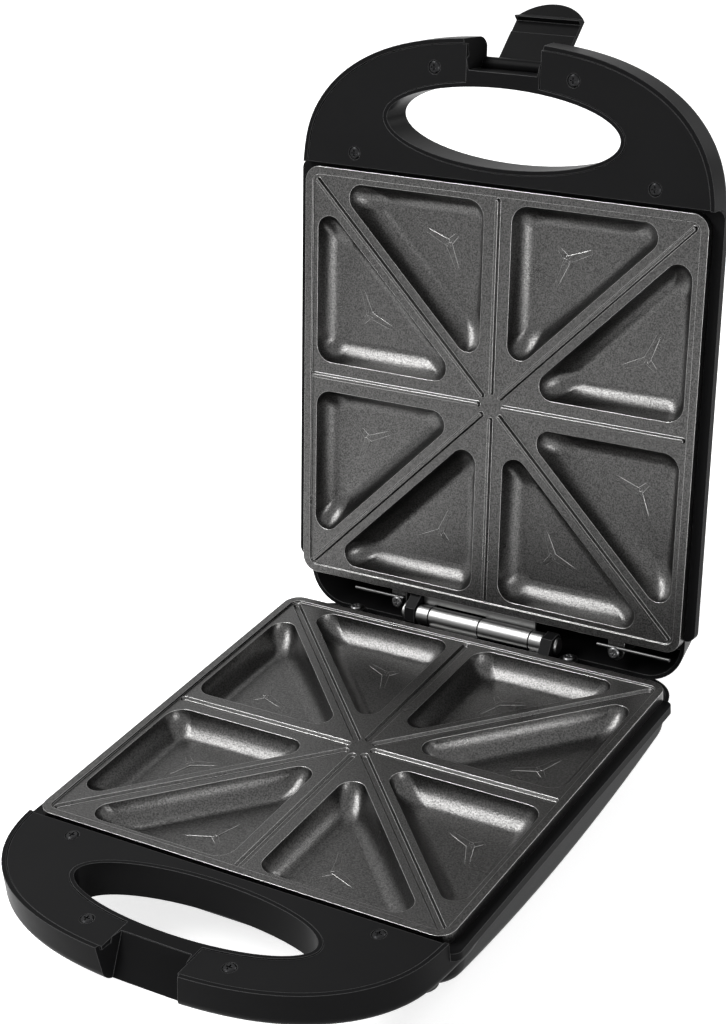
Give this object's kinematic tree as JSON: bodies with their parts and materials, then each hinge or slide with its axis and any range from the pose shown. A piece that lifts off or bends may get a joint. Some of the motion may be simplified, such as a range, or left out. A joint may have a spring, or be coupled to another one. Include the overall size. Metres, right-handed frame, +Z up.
{
  "type": "sandwich toaster",
  "caption": "Countertop sandwich toaster standing open, with hinged lid, scooped triangular cooking pockets, hollow handles and a swinging front latch.",
  "frame": {"origin": "middle of the open toaster's bounding box, on the table it stands on", "axes": "+Z up, +Y towards the hinge and the open lid, +X to the right of someone facing the hinge"},
  "size_m": [0.257, 0.4497, 0.3798],
  "materials": {
    "housing": "moulded, semi-gloss black",
    "cover": "fine satin black",
    "nonstick": "dark grey non-stick coating on cast aluminium",
    "element": "oxidised steel sheath",
    "tray": "bright aluminised sheet",
    "screw": "zinc plated",
    "hinge": "bright plated steel",
    "latch": "moulded black",
    "rubber": "matt black",
    "red_lens": "clear red, polished",
    "green_lens": "clear green, polished",
    "lamp": "clear",
    "ceramic": "unglazed cream ceramic"
  },
  "bodies": {
    "base": {"base_housing": "housing", "base_handle_cover": "cover", "base_cover_screws": "screw", "lower_plate": "nonstick", "base_rear_screws": "screw", "lower_heater": "element", "lower_reflector": "tray", "base_tray_screws": "screw", "thermal_fuse": "ceramic", "fuse_clamp": "tray", "fuse_clamp_screws": "screw", "terminal_block": "ceramic", "terminal_screws": "screw", "base_hinge_leaf": "hinge", "base_leaf_screws": "screw", "hinge_pin": "hinge", "hinge_pin_clip": "hinge", "cord_bush": "rubber", "rubber_feet": "rubber"},
    "lid": {"lid_housing": "housing", "lid_handle_cover": "cover", "lid_cover_screws": "screw", "upper_plate": "nonstick", "lid_rear_screws": "screw", "retaining_wires": "hinge", "upper_heater": "element", "upper_reflector": "tray", "lid_tray_screws": "screw", "thermostat": "ceramic", "thermostat_screws": "screw", "lid_hinge_leaf": "hinge", "lid_leaf_screws": "screw", "power_lens": "red_lens", "ready_lens": "green_lens", "indicator_lamps": "lamp", "latch_pin": "hinge"},
    "latch_arm": {"latch": "latch"}
  },
  "joints": [
    {"name": "lid_hinge", "type": "hinge", "parent": "base", "child": "lid", "pos_m": [0, 0.10317, 0.054], "axis": [1, 0, 0], "range_deg": [0, 100.66]},
    {"name": "latch_pivot", "type": "hinge", "parent": "lid", "child": "latch_arm", "pos_m": [0, 0.17772, 0.35923], "axis": [1, 0, 0], "range_deg": [0, 134]}
  ]
}
